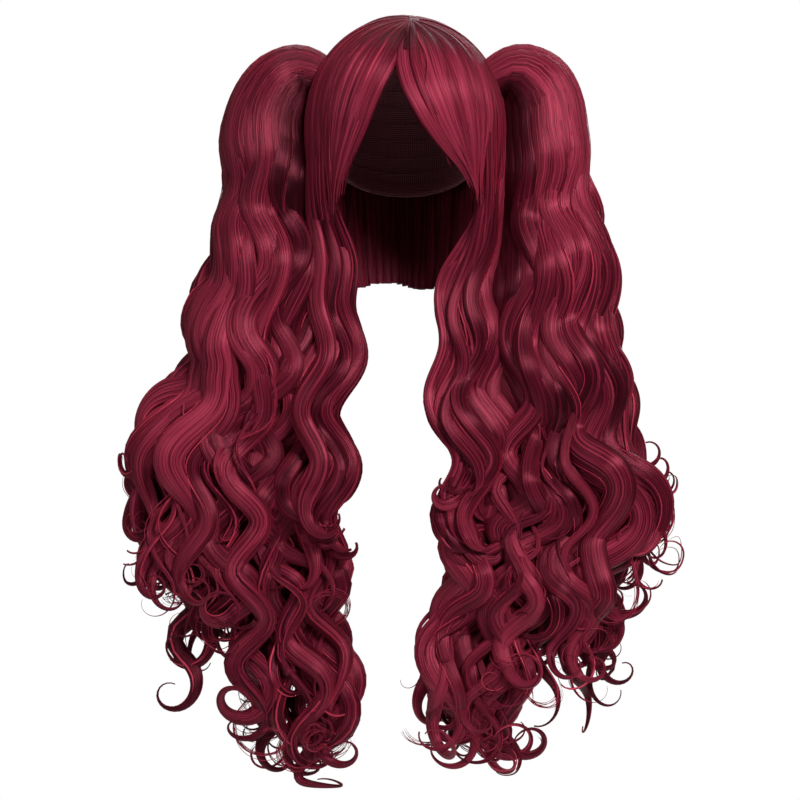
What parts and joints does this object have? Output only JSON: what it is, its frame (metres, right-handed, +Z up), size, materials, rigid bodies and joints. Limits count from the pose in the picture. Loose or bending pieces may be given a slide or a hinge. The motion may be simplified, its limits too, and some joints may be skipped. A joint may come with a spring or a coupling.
{
  "type": "pigtail wig",
  "caption": "Long wig worn on the head: parted fringe, wavy side locks and two high clipped-on pigtails of curled hair over a net cap that is open below.",
  "frame": {"origin": "top of the hollow inside the net cap, where the wig sits on the crown of a head", "axes": "+Z up, the face side looks to -Y, +X is the right side as seen from the front"},
  "size_m": [0.5286, 0.219, 0.7438],
  "materials": {
    "hair_fibre": "burgundy synthetic hair fibre, combed, silky sheen",
    "cap_net": "elastic net with sewn wefts, matt",
    "scalp_skin": "soft false scalp, matt",
    "clip_plastic": "moulded black plastic"
  },
  "bodies": {
    "root": {"wig_cap": "cap_net", "scalp_patch": "scalp_skin", "crown_hair": "hair_fibre", "back_hair": "hair_fibre", "fringe_left": "hair_fibre", "fringe_right": "hair_fibre", "side_lock_left": "hair_fibre", "side_lock_right": "hair_fibre", "pigtail_left": "hair_fibre", "pigtail_right": "hair_fibre", "clip_left": "clip_plastic", "clip_right": "clip_plastic"}
  },
  "joints": []
}
